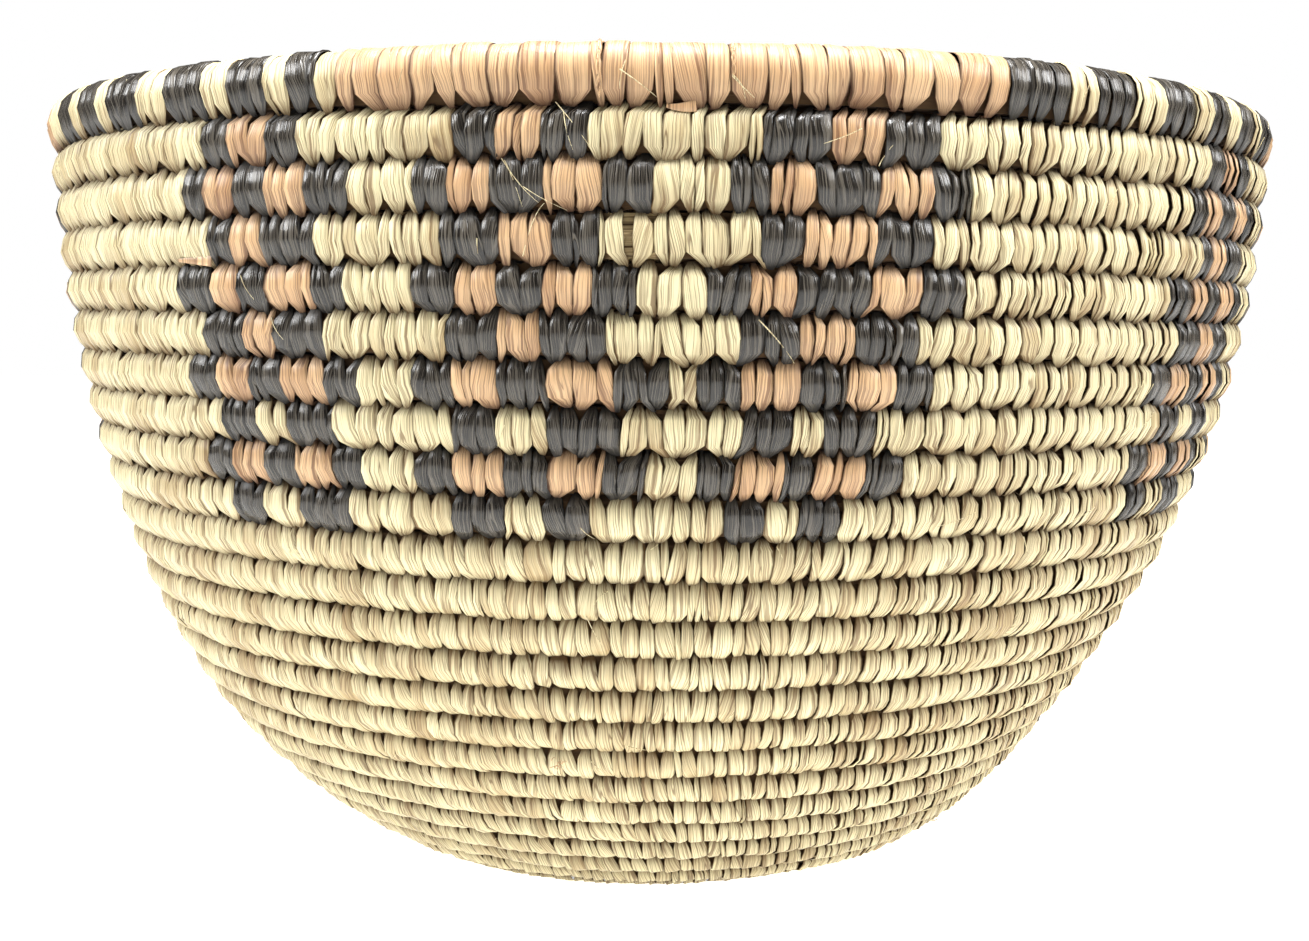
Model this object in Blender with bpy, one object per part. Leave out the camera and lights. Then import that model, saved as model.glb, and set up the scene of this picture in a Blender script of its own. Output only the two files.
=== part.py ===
"""A coiled bowl of palm leaf and grass.

One long bundle of grass stems winds in a spiral from the middle of the base up to the rim.
Strips of palm leaf are wrapped round it and sewn over the turn before, so every row of the
bowl is a hollow sleeve of strip round the same unbroken core.

Metres, +Z up. The bowl stands on the XY plane, centred on the Z axis, its front towards -Y.
The coil starts and ends at the back and climbs clockwise as seen from above.
"""

import functools
import math

import bmesh
import bpy
import numpy as np

# Turns of the coil, and repeats of the pattern round the rim
BASE_TURNS = 8
WALL_TURNS = 22
PATTERN_GROUPS = 4

# How finely the coil is made: its smallest turns have fewer points
COARSE_TURNS = 2
COARSE_POINTS_PER_TURN = 10
POINTS_PER_TURN = 20
WRAP_SIDES = 6
CORE_SIDES = 4
KNOT_SEGMENTS = 12
KNOT_RINGS = 8
SHARP_EDGE_DEGREES = 40.0

# The wrapped coil, measured from row to row
COIL_START_THICKNESS = 0.0040
BASE_COIL_THICKNESS = 0.0076
WALL_COIL_THICKNESS = 0.00850
RIM_COIL_THICKNESS = 0.00980
COIL_END_THICKNESS = 0.0040
ROW_GAP = 0.00036
STRIP_LAYER = 0.0010
CORE_GAP = 0.0003
SLEEVE_END_GAP = 0.0003
CUT_OVERRUN = 0.0020
WELD_DISTANCE = 0.000001

# The knot that the coil starts from
KNOT_RADIUS = 0.0026
KNOT_GAP = 0.0003

# How far the wall leans from flat, in degrees, and how it straightens on its way up
LOW_WALL_LEAN = 19.0
RIM_LEAN = 89.0
LEAN_CURVE_SHARE = 0.576

# Shares of one turn. The rows change over half a turn before the wall starts to lean
LEAN_START_SHARE = 0.50
RIM_SWELL_SHARE = 0.10
COIL_END_SHARE = 0.12
COIL_TAPER_SHARE = 0.20
BROWN_RIM_SHARE = 0.139
SEAM_SHARE = 0.025

# Shares of the coil's thickness
FOOT_CUT_SHARE = 0.10
KNOT_HEIGHT_SHARE = 0.42

# The knot sits towards the side where the first turn has moved furthest from the middle
KNOT_SIDE_SHARE = 0.60
KNOT_SHIFT_SHARE = 0.30

RIM_TURN = BASE_TURNS + WALL_TURNS
LAST_TURN = RIM_TURN + 1 + COIL_END_SHARE

# Colour and roughness of each material
NATURAL_PALM = ((0.63, 0.48, 0.28), 0.62)
BROWN_PALM = ((0.40, 0.19, 0.09), 0.60)
BLACK_PALM = ((0.035, 0.033, 0.032), 0.55)
DRY_GRASS = ((0.55, 0.42, 0.20), 0.80)


def blend(low, high, share):
    """A value between low and high, kept at either end past them."""
    return low + (high - low) * min(max(share, 0.0), 1.0)


def coil_thickness(turn):
    """Thickness of the wrapped coil from row to row, this many turns from its start."""
    if turn < 1:
        return blend(COIL_START_THICKNESS, BASE_COIL_THICKNESS, turn)
    wall_share = (turn - BASE_TURNS) / WALL_TURNS
    body = blend(BASE_COIL_THICKNESS, WALL_COIL_THICKNESS, wall_share)
    swelled = blend(body, RIM_COIL_THICKNESS, (turn - RIM_TURN) / RIM_SWELL_SHARE)
    taper = (LAST_TURN - turn) / COIL_TAPER_SHARE
    return blend(COIL_END_THICKNESS, swelled, taper)


def wall_lean(turn):
    """Angle in radians from flat of the step from the turn before to this one."""
    climb = turn - BASE_TURNS + LEAN_START_SHARE
    if climb <= 0:
        return 0.0
    height_share = max(turn - BASE_TURNS, 0.0) / (WALL_TURNS + 1)
    lean = LOW_WALL_LEAN + (RIM_LEAN - LOW_WALL_LEAN) * height_share**LEAN_CURVE_SHARE
    return math.radians(lean * min(climb, 1.0))


def corner_radius(turn):
    """Distance from the coil's middle to a corner of its six-sided section."""
    return coil_thickness(turn) / 2 / math.cos(math.pi / WRAP_SIDES)


def bore_radius(turn):
    return coil_thickness(turn) / 2 - STRIP_LAYER


def core_radius(turn):
    return bore_radius(turn) - CORE_GAP / math.cos(math.pi / CORE_SIDES)


def section_lean(turn):
    """The section lies square to the middle of the steps below and above it."""
    return (wall_lean(turn) + wall_lean(turn + 1)) / 2


def reach_towards(turn, lean):
    """How far the section reaches from its middle towards a neighbour that lies at this lean."""
    off_square = abs(lean - section_lean(turn))
    return corner_radius(turn) * math.cos(math.pi / WRAP_SIDES - off_square)


def whole_step(turn):
    """The same turn without rounding noise, so that each is worked out once."""
    return round(turn, 9)


def first_turn_slack(turn):
    """How much further the first turn lies from the knot than it did at its start."""
    return turn * (COIL_START_THICKNESS + ROW_GAP)


@functools.lru_cache(maxsize=None)
def row_middle(turn):
    """(radius, height) of the coil's middle. Each turn lies against the turn before it."""
    if turn < 1:
        radius = KNOT_RADIUS + KNOT_GAP + coil_thickness(turn) / 2 + first_turn_slack(turn)
        return radius, corner_radius(BASE_TURNS / 2) - FOOT_CUT_SHARE * BASE_COIL_THICKNESS
    radius, height = row_middle(whole_step(turn - 1))
    lean = wall_lean(turn)
    step = reach_towards(turn - 1, lean) + ROW_GAP + reach_towards(turn, lean)
    return radius + step * math.cos(lean), height + step * math.sin(lean)


def coil_place(turn):
    """The middle of the coil in space. Turn 0 is at the back, and a half turn at the front."""
    radius, height = row_middle(whole_step(turn))
    angle = math.pi / 2 - 2 * math.pi * turn
    return np.array([radius * math.cos(angle), radius * math.sin(angle), height])


def corner_turns():
    """The turns at which the coil's path bends, with fewer on the small turns of the base."""
    coarse = [i / COARSE_POINTS_PER_TURN for i in range(COARSE_TURNS * COARSE_POINTS_PER_TURN)]
    fine_count = math.ceil((LAST_TURN - COARSE_TURNS) * POINTS_PER_TURN)
    fine = [COARSE_TURNS + i / POINTS_PER_TURN for i in range(fine_count + 1)]
    return coarse + fine


CORNER_TURNS = corner_turns()


def place_on_path(turn):
    """A point on the straight stretch between two corners of the path."""
    after = next(i for i, corner in enumerate(CORNER_TURNS) if corner >= turn - 1e-9)
    if after == 0:
        return coil_place(turn)
    first, last = CORNER_TURNS[after - 1], CORNER_TURNS[after]
    share = (turn - first) / (last - first)
    return coil_place(first) * (1 - share) + coil_place(last) * share


def stretch_share(turn):
    """Thickness between two corners of the path as a share of the thickness at the corners."""
    points = COARSE_POINTS_PER_TURN if turn < COARSE_TURNS else POINTS_PER_TURN
    return math.cos(math.pi / points)


def tube_along_coil(name, start, end, radius_at, sides, overrun=0.0):
    """A tube along the coil from one turn to another, as a curve with a bevel and filled caps."""
    inner = [turn for turn in CORNER_TURNS if start + 1e-6 < turn < end - 1e-6]
    turns = [start, *inner, end]
    places = [place_on_path(start), *(coil_place(turn) for turn in inner), place_on_path(end)]
    radii = [radius_at(turn) for turn in turns]
    radii[0] *= stretch_share(start)
    radii[-1] *= stretch_share(end)
    for tip, neighbour in ((0, 1), (-1, -2)):
        outward = places[tip] - places[neighbour]
        places[tip] = places[tip] + outward / np.linalg.norm(outward) * overrun
    data = bpy.data.curves.new(name, "CURVE")
    data.dimensions = "3D"
    data.twist_mode = "Z_UP"
    data.bevel_mode = "ROUND"
    data.bevel_depth = 1.0
    data.bevel_resolution = (sides - 4) // 2
    data.use_fill_caps = True
    spline = data.splines.new("POLY")
    spline.points.add(len(turns) - 1)
    for point, turn, place, radius in zip(spline.points, turns, places, radii):
        point.co = (*place, 1.0)
        point.radius = radius
        point.tilt = section_lean(turn) + math.pi / WRAP_SIDES
    tube = bpy.data.objects.new(name, data)
    bpy.context.scene.collection.objects.link(tube)
    return tube


def mesh_from(source, name):
    """The evaluated shape of an object as a welded mesh object, in place of that object."""
    graph = bpy.context.evaluated_depsgraph_get()
    data = bpy.data.meshes.new_from_object(source.evaluated_get(graph))
    data.name = name
    mesh = bmesh.new()
    mesh.from_mesh(data)
    bmesh.ops.remove_doubles(mesh, verts=mesh.verts, dist=WELD_DISTANCE)
    bmesh.ops.recalc_face_normals(mesh, faces=mesh.faces)
    mesh.to_mesh(data)
    mesh.free()
    made = bpy.data.objects.new(name, data)
    made.matrix_world = source.matrix_world
    bpy.context.scene.collection.objects.link(made)
    bpy.data.objects.remove(source)
    return made


def cut_away(target, cutter):
    """The target less the cutter, which is used up."""
    cutter.display_type = "WIRE"
    cutter.hide_render = True
    boolean = target.modifiers.new("cut", "BOOLEAN")
    boolean.operation = "DIFFERENCE"
    boolean.solver = "EXACT"
    boolean.object = cutter
    name = target.name
    target.name = name + ".uncut"
    made = mesh_from(target, name)
    bpy.data.objects.remove(cutter)
    return made


def floor_block():
    """A block whose top is the plane that the bowl stands on."""
    reach = row_middle(BASE_TURNS)[0] + BASE_COIL_THICKNESS
    bpy.ops.mesh.primitive_cube_add(size=2.0, location=(0, 0, -BASE_COIL_THICKNESS))
    block = bpy.context.object
    block.scale = (reach, reach, BASE_COIL_THICKNESS)
    bpy.context.view_layer.update()
    return block


def make_material(name, look):
    colour, roughness = look
    material = bpy.data.materials.new(name)
    material.use_nodes = True
    shader = material.node_tree.nodes["Principled BSDF"]
    shader.inputs["Base Color"].default_value = (*colour, 1.0)
    shader.inputs["Roughness"].default_value = roughness
    shader.inputs["Metallic"].default_value = 0.0
    return material


def finish_piece(piece, material, collection):
    """Gives a piece its shading and material and moves it to the bowl's collection."""
    piece.data.shade_smooth()
    piece.data.set_sharp_from_angle(angle=math.radians(SHARP_EDGE_DEGREES))
    piece.data.materials.clear()
    piece.data.materials.append(material)
    for holder in list(piece.users_collection):
        holder.objects.unlink(piece)
    collection.objects.link(piece)


def half_end_gap(turn):
    """Half of the gap between two sleeves that meet end to end, as a share of this turn."""
    return SLEEVE_END_GAP / 2 / (2 * math.pi * row_middle(whole_step(turn))[0])


def wrap_sleeve(name, start, end):
    """Strips wrapped round the core between two turns: a six-sided sleeve with a plainer bore."""
    if start > 0:
        start = start + half_end_gap(start)
    if end < LAST_TURN:
        end = end - half_end_gap(end)
    outside = tube_along_coil(name + ".outside", start, end, corner_radius, WRAP_SIDES)
    bore = tube_along_coil(name + ".bore", start, end, bore_radius, CORE_SIDES, CUT_OVERRUN)
    sleeve = cut_away(mesh_from(outside, name), mesh_from(bore, name + ".cutter"))
    if any(row_middle(whole_step(turn))[1] < corner_radius(turn) for turn in (start, end)):
        sleeve = cut_away(sleeve, floor_block())
    return sleeve


def grass_core():
    """The bundle of grass stems inside every row, in one unbroken length."""
    return mesh_from(tube_along_coil("core", 0.0, LAST_TURN, core_radius, CORE_SIDES), "grass_core")


def start_knot():
    """The little knot of palm strip in the middle of the base."""
    shift = KNOT_SHIFT_SHARE * first_turn_slack(1.0)
    angle = math.pi / 2 - 2 * math.pi * KNOT_SIDE_SHARE
    radius = KNOT_RADIUS - shift * math.cos(2 * math.pi * KNOT_SIDE_SHARE)
    bpy.ops.mesh.primitive_uv_sphere_add(segments=KNOT_SEGMENTS, ring_count=KNOT_RINGS, radius=1.0)
    knot = bpy.context.object
    knot.name = "start_knot"
    knot.scale = (radius, radius, KNOT_HEIGHT_SHARE * BASE_COIL_THICKNESS)
    knot.location = (shift * math.cos(angle), shift * math.sin(angle), row_middle(0)[1])
    return knot


def rim_bindings():
    """(name, start, end, colour) of the bindings that meet end to end round the rim."""
    spans = []
    start = RIM_TURN - SEAM_SHARE
    for group in range(PATTERN_GROUPS + 1):
        middle = RIM_TURN + group / PATTERN_GROUPS
        brown_start = max(middle - BROWN_RIM_SHARE / 2, start)
        if group > 0:
            spans.append((f"rim_ticked_binding_{group}", start, brown_start, "black_palm"))
        brown_end = middle + BROWN_RIM_SHARE / 2
        if group == PATTERN_GROUPS:
            brown_end = LAST_TURN
        spans.append((f"rim_brown_binding_{group + 1}", brown_start, brown_end, "brown_palm"))
        start = brown_end
    return spans


def row_name(row):
    if row < BASE_TURNS:
        return f"base_row_{row + 1:02d}"
    return f"wall_row_{row - BASE_TURNS + 1:02d}"


def least_core_gap():
    """Least clear distance between the core and itself, half a turn or more further along."""
    points = np.array([place_on_path(turn) for turn in CORNER_TURNS])
    turns = np.array(CORNER_TURNS)
    radii = np.array([core_radius(turn) for turn in CORNER_TURNS])
    least = math.inf
    for point, turn, radius in zip(points, turns, radii):
        further = turns > turn + 0.5
        if further.any():
            apart = np.linalg.norm(points[further] - point, axis=1) - radii[further] - radius
            least = min(least, apart.min())
    return least


def build():
    for old in list(bpy.data.objects):
        bpy.data.objects.remove(old)
    collection = bpy.data.collections.new("coiled_bowl")
    bpy.context.scene.collection.children.link(collection)
    materials = {
        "natural_palm": make_material("natural_palm", NATURAL_PALM),
        "brown_palm": make_material("brown_palm", BROWN_PALM),
        "black_palm": make_material("black_palm", BLACK_PALM),
        "dry_grass": make_material("dry_grass", DRY_GRASS),
    }
    finish_piece(start_knot(), materials["natural_palm"], collection)
    finish_piece(grass_core(), materials["dry_grass"], collection)
    for row in range(RIM_TURN):
        start = max(row - SEAM_SHARE, 0.0)
        sleeve = wrap_sleeve(row_name(row), start, row + 1 - SEAM_SHARE)
        finish_piece(sleeve, materials["natural_palm"], collection)
    for name, start, end, colour in rim_bindings():
        finish_piece(wrap_sleeve(name, start, end), materials[colour], collection)
    print(f"least gap of the grass core to itself: {least_core_gap() * 1000:.2f} mm")


build()
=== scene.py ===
"""Looks of a coiled bowl of grass and palm leaf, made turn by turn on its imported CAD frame."""

import functools
import math

import bmesh
import bpy
import numpy as np
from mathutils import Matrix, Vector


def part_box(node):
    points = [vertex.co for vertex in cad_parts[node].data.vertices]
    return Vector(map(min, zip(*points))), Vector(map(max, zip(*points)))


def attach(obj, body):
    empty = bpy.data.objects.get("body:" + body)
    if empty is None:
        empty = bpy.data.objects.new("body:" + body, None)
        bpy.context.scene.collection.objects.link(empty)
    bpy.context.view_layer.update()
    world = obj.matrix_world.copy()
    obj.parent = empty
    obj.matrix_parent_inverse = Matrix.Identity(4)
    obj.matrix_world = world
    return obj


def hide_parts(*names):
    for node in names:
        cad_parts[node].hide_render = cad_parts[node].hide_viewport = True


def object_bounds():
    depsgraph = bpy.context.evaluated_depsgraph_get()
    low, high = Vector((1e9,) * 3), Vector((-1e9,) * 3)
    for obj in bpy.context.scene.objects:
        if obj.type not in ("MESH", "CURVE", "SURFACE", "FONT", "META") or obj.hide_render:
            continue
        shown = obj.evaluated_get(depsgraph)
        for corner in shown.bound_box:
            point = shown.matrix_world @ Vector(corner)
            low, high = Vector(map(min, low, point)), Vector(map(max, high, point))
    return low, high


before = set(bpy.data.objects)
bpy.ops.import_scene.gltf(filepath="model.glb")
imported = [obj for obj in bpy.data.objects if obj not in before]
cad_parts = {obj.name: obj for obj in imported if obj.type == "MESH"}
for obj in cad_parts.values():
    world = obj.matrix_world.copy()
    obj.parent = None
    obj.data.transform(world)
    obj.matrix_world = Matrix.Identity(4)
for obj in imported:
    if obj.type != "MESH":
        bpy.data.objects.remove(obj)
cad_low, cad_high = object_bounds()


# Start knot: the first strip of natural palm leaf is wound round itself into a small hard knot,
# with its tail beside it where the coil winds away. It shows in the middle of the bowl's floor.
# The finish for every strip of leaf on the bowl is made here too.
KNOT_WRAPS = 5
WRAP_STEPS = 18
WRAP_SIDES = 8
KNOT_STRIP_SHARE = 0.42
KNOT_FILL = 1.16
KNOT_TONE = 0.45
WRAP_MAP_SIZE = (2.5, 12.0)
TAIL_REACH = 0.0023
TAIL_OFFSETS = ((-0.0006, 0.0047, 0.0), (-0.0024, 0.0034, 0.0), (-0.0040, 0.0010, 0.0))


def deselect_all():
    bpy.ops.object.select_all(action="DESELECT")


def select_where(piece, test):
    """Selects the vertices in edit mode whose place passes the test."""
    bpy.ops.mesh.select_all(action="DESELECT")
    mesh = bmesh.from_edit_mesh(piece.data)
    for vertex in mesh.verts:
        vertex.select_set(bool(test(vertex.co)))
    mesh.select_flush_mode()
    bmesh.update_edit_mesh(piece.data)


def settle(piece, name, body="root"):
    """Names the piece, puts its place into its mesh and lets it move with its body."""
    piece.name = name
    piece.data.name = name
    deselect_all()
    piece.select_set(True)
    bpy.context.view_layer.objects.active = piece
    bpy.ops.object.transform_apply(location=True, rotation=True, scale=True)
    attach(piece, body)


def add_socket(group, name, kind, way="INPUT"):
    group.interface.new_socket(name=name, in_out=way, socket_type=kind)


def make_fibre_group():
    """Fine lines along a strip, tone from strip to strip, and the soil that gathers between strips,
    with painted shade in the same gaps.

    The strip map is in millimetres, across the strip and along it. Each strip has its own
    number between 0 and 1 in the attribute tone, which on the upper wall also carries painted
    light and shade. A second attribute is 1 where a strip goes out of sight, for soil and painted
    shade, and edge is 1 along its two long edges, where the seams get painted shade.
    """
    group = bpy.data.node_groups.new("palm_fibre", "ShaderNodeTree")
    for name in ("Pale", "Deep", "Line", "Soil And Shade"):
        add_socket(group, name, "NodeSocketColor")
    for name in ("Line Share", "Soil And Shade Share", "Smooth", "Rough"):
        add_socket(group, name, "NodeSocketFloat")
    add_socket(group, "Color", "NodeSocketColor", "OUTPUT")
    add_socket(group, "Roughness", "NodeSocketFloat", "OUTPUT")
    add_socket(group, "Height", "NodeSocketFloat", "OUTPUT")
    nodes, links = group.nodes, group.links
    given = nodes.new("NodeGroupInput")
    made = nodes.new("NodeGroupOutput")

    def lines(across, along, detail):
        strip = nodes.new("ShaderNodeUVMap")
        strip.uv_map = "strip"
        stretch = nodes.new("ShaderNodeVectorMath")
        stretch.operation = "MULTIPLY"
        stretch.inputs[1].default_value = (across, along, 1.0)
        noise = nodes.new("ShaderNodeTexNoise")
        noise.noise_dimensions = "2D"
        noise.inputs["Scale"].default_value = 1.0
        noise.inputs["Detail"].default_value = detail
        links.new(strip.outputs["UV"], stretch.inputs[0])
        links.new(stretch.outputs[0], noise.inputs["Vector"])
        return noise.outputs["Fac"]

    def spread(value, low, high, to_low=0.0, to_high=1.0):
        fit = nodes.new("ShaderNodeMapRange")
        fit.inputs["From Min"].default_value = low
        fit.inputs["From Max"].default_value = high
        fit.inputs["To Min"].default_value = to_low
        fit.inputs["To Max"].default_value = to_high
        links.new(value, fit.inputs["Value"])
        return fit.outputs["Result"]

    def calc(operation, first, second):
        maths = nodes.new("ShaderNodeMath")
        maths.operation = operation
        for socket, value in zip(maths.inputs, (first, second)):
            if isinstance(value, float):
                socket.default_value = value
            else:
                links.new(value, socket)
        return maths.outputs[0]

    def mix(share, first, second):
        blend = nodes.new("ShaderNodeMix")
        blend.data_type = "RGBA"
        links.new(share, blend.inputs["Factor"])
        links.new(first, blend.inputs["A"])
        links.new(second, blend.inputs["B"])
        return blend.outputs["Result"]

    def attribute(name):
        read = nodes.new("ShaderNodeAttribute")
        read.attribute_name = name
        return read.outputs["Fac"]

    fine = lines(4.0, 0.06, 2.0)
    broad = lines(1.2, 0.04, 1.0)
    soil_and_shade, edge = attribute("soil_and_shade"), attribute("edge")
    place = nodes.new("ShaderNodeTexCoord")
    patches = nodes.new("ShaderNodeTexNoise")
    patches.inputs["Scale"].default_value = 70.0
    patches.inputs["Detail"].default_value = 2.0
    links.new(place.outputs["Object"], patches.inputs["Vector"])
    age = spread(patches.outputs["Fac"], 0.35, 0.65, -0.25, 0.25)
    streak = spread(broad, 0.30, 0.70, -0.22, 0.22)
    depth = calc("ADD", calc("ADD", attribute("tone"), age), streak)
    colour = mix(spread(depth, 0.0, 1.0), given.outputs["Pale"], given.outputs["Deep"])
    pleats = spread(calc("ADD", broad, calc("MULTIPLY", soil_and_shade, 0.12)), 0.68, 0.74)
    off_line = calc("ABSOLUTE", calc("SUBTRACT", lines(0.9, 0.045, 0.0), 0.5), 0.0)
    crease_line = spread(off_line, 0.010, 0.036, 1.0, 0.0)
    creases = calc("MULTIPLY", crease_line, spread(lines(0.4, 0.06, 0.0), 0.40, 0.52))
    fibres = calc("MULTIPLY", spread(fine, 0.46, 0.63), 0.78)
    threads = calc("MAXIMUM", calc("MAXIMUM", pleats, creases), fibres)
    thread = calc("MULTIPLY", threads, given.outputs["Line Share"])
    colour = mix(thread, colour, given.outputs["Line"])
    # Seams along the strips' long edges are painted dark: painted shade in the crevices between
    # strips.
    seam = calc("MULTIPLY", spread(edge, 0.86, 0.97), calc("ADD", soil_and_shade, 0.90))
    # Soil and painted shade where strips go out of sight between rows, and along the seams.
    soil_and_shade_mask = calc("MAXIMUM", calc("POWER", soil_and_shade, 1.3), seam)
    soil_and_shade_mixed = calc("MULTIPLY", soil_and_shade_mask, given.outputs["Soil And Shade Share"])
    colour = mix(soil_and_shade_mixed, colour, given.outputs["Soil And Shade"])
    links.new(colour, made.inputs["Color"])
    gloss = nodes.new("ShaderNodeMapRange")
    links.new(spread(fine, 0.3, 0.7), gloss.inputs["Value"])
    links.new(given.outputs["Smooth"], gloss.inputs["To Min"])
    links.new(given.outputs["Rough"], gloss.inputs["To Max"])
    dull = calc("ADD", gloss.outputs["Result"], calc("MULTIPLY", soil_and_shade_mask, 0.5))
    links.new(dull, made.inputs["Roughness"])
    height = calc("ADD", calc("MULTIPLY", fine, -0.8), calc("MULTIPLY", broad, -0.6))
    height = calc("SUBTRACT", height, calc("MULTIPLY", creases, 0.5))
    links.new(height, made.inputs["Height"])
    return group


fibre_group = make_fibre_group()


def make_finish(name, colours, shares, specular, bump_strength=0.45, bump_height=0.00025):
    """Leaf or grass: pale, deep, line and soil colours, and line, soil, smooth and rough shares.
    The soil colour and share also stand for painted shade in the gaps between strips and rows.
    """
    material = bpy.data.materials.new(name)
    material.use_nodes = True
    nodes, links = material.node_tree.nodes, material.node_tree.links
    shader = nodes["Principled BSDF"]
    fibre = nodes.new("ShaderNodeGroup")
    fibre.node_tree = fibre_group
    for socket, colour in zip(("Pale", "Deep", "Line", "Soil And Shade"), colours):
        fibre.inputs[socket].default_value = (*colour, 1.0)
    for socket, share in zip(("Line Share", "Soil And Shade Share", "Smooth", "Rough"), shares):
        fibre.inputs[socket].default_value = share
    bump = nodes.new("ShaderNodeBump")
    bump.inputs["Strength"].default_value = bump_strength
    bump.inputs["Distance"].default_value = bump_height
    links.new(fibre.outputs["Color"], shader.inputs["Base Color"])
    links.new(fibre.outputs["Roughness"], shader.inputs["Roughness"])
    links.new(fibre.outputs["Height"], bump.inputs["Height"])
    links.new(bump.outputs["Normal"], shader.inputs["Normal"])
    shader.inputs["Specular IOR Level"].default_value = specular
    return material


natural_palm = make_finish(
    "natural_palm",
    ((0.86, 0.765, 0.470), (0.48, 0.350, 0.17), (0.17, 0.095, 0.035), (0.080, 0.042, 0.013)),
    (0.80, 0.96, 0.34, 0.50),
    0.45,
)


def mark_strips(data, tone, soil_and_shade, edge, strip_map):
    """Writes the values and the map that the palm finish reads."""
    for name, values in (("tone", tone), ("soil_and_shade", soil_and_shade), ("edge", edge)):
        attribute = data.attributes.new(name, "FLOAT", "POINT")
        attribute.data.foreach_set("value", np.ascontiguousarray(values, np.float32).ravel())
    layer = data.uv_layers.new(name="strip")
    layer.uv.foreach_set("vector", np.ascontiguousarray(strip_map, np.float32).ravel())


knot_low, knot_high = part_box("start_knot")
knot_middle = (knot_low + knot_high) / 2
knot_radius = (knot_high.x - knot_low.x) / 2


def add_wrap(middle, reach, turned):
    """One round of strip about its middle, turned by these degrees about X, Y and Z."""
    deselect_all()
    bpy.ops.mesh.primitive_torus_add(
        major_segments=WRAP_STEPS,
        minor_segments=WRAP_SIDES,
        major_radius=reach * (1 - KNOT_STRIP_SHARE),
        minor_radius=reach * KNOT_STRIP_SHARE,
        location=middle,
        rotation=[math.radians(angle) for angle in turned],
    )
    return bpy.context.object


wraps = [
    add_wrap(knot_middle, knot_radius * KNOT_FILL, (34 * wrap, 71 * wrap + 10, 47 * wrap))
    for wrap in range(KNOT_WRAPS)
]
for wrap, offset in enumerate(TAIL_OFFSETS):
    middle = [at + off for at, off in zip(knot_middle, offset)]
    wraps.append(add_wrap(middle, TAIL_REACH, (15, 20 * wrap, 0)))
for wrap in wraps:
    wrap.select_set(True)
bpy.ops.object.join()
start_knot = bpy.context.object
bpy.ops.object.transform_apply(location=True, rotation=True, scale=True)
knot_height_share = (knot_high.z - knot_low.z) / (2 * knot_radius * KNOT_FILL)
bpy.ops.object.mode_set(mode="EDIT")
bpy.ops.mesh.select_all(action="SELECT")
bpy.ops.transform.resize(value=(1, 1, knot_height_share), center_override=knot_middle)
bpy.ops.object.mode_set(mode="OBJECT")
bpy.ops.object.shade_smooth()
corner_count = len(start_knot.data.loops)
vertex_count = len(start_knot.data.vertices)
wrap_map = np.zeros(corner_count * 2, np.float32)
start_knot.data.uv_layers[0].uv.foreach_get("vector", wrap_map)
wrap_map = wrap_map.reshape(-1, 2)[:, ::-1] * WRAP_MAP_SIZE
start_knot.data.uv_layers.remove(start_knot.data.uv_layers[0])
strip_edge = np.abs(np.arange(vertex_count) % WRAP_SIDES - WRAP_SIDES / 2) / (WRAP_SIDES / 2)
knot_tone = np.full(vertex_count, KNOT_TONE)
# The wraps' edges get a little soil and painted shade where they press together.
mark_strips(start_knot.data, knot_tone, strip_edge * 0.4, strip_edge, wrap_map)
start_knot.data.materials.append(natural_palm)
settle(start_knot, "knot_of_palm")
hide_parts("start_knot")


# Grass core: one long bundle of dry grass stems, fed with new stems as it is used up, winds from
# the knot to the rim in a single spiral. It is dark with soil and painted shade where it shows in
# the narrow gaps between strips, and its pale stems show at one bare place at the front, where two
# strips have parted.
BASE_TURNS = 8
WALL_TURNS = 22
RIM_TURN = BASE_TURNS + WALL_TURNS
LAST_TURN = 31.12
COIL_START_THICKNESS = 0.0040
BASE_COIL_THICKNESS = 0.0076
WALL_COIL_THICKNESS = 0.0085
RIM_COIL_THICKNESS = 0.0098
COIL_END_THICKNESS = 0.0040
RIM_SWELL_TURNS = 0.10
COIL_TAPER_TURNS = 0.20
ROW_GAP = 0.00036
LOW_WALL_LEAN = 19.0
RIM_LEAN = 89.0
LEAN_CURVE_SHARE = 0.576
KNOT_REACH = 0.0029
SEAM_SHARE = 0.025
STEPS_PER_TURN = 100
CORE_FACE_SHARE = 0.84
CORE_SIDE_SHARE = 1.17
CORE_STEMS = 7
CORE_STEPS_PER_TURN = 48
CORE_END_SHORT = 0.004
STEM_GROOVE = 0.88
RIM_TOP_TURNS = 1.05
STEM_MAP_WIDTH = 1.4
STEM_MAP_PER_TURN = 700.0
BARE_TURN = 27.5052
BARE_WIDTH = 0.0016
BARE_REACH = 0.005
BARE_SOIL_AND_SHADE = 0.15
GROOVE_SOIL_AND_SHADE = 0.25
RIM_DRIFT = 0.0014
BOWL_HEIGHT = 0.18
BELLY_SWAY = 0.0036
BELLY_HEIGHT = 0.042
BELLY_SPAN = 0.040
FOOT_HEIGHT = 0.0045
FOOT_SPAN = 0.010
TOP_STRETCH = 0.0015
TOP_STRETCH_FROM = 0.143
TOP_STRETCH_OVER = 0.033


def blend(low, high, share):
    return low + (high - low) * min(max(share, 0.0), 1.0)


def coil_thickness(turn):
    """Thickness of the wrapped coil from row to row, this many turns from the knot."""
    if turn < 1:
        return blend(COIL_START_THICKNESS, BASE_COIL_THICKNESS, turn)
    body = blend(BASE_COIL_THICKNESS, WALL_COIL_THICKNESS, (turn - BASE_TURNS) / WALL_TURNS)
    swelled = blend(body, RIM_COIL_THICKNESS, (turn - RIM_TURN) / RIM_SWELL_TURNS)
    return blend(COIL_END_THICKNESS, swelled, (LAST_TURN - turn) / COIL_TAPER_TURNS)


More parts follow.
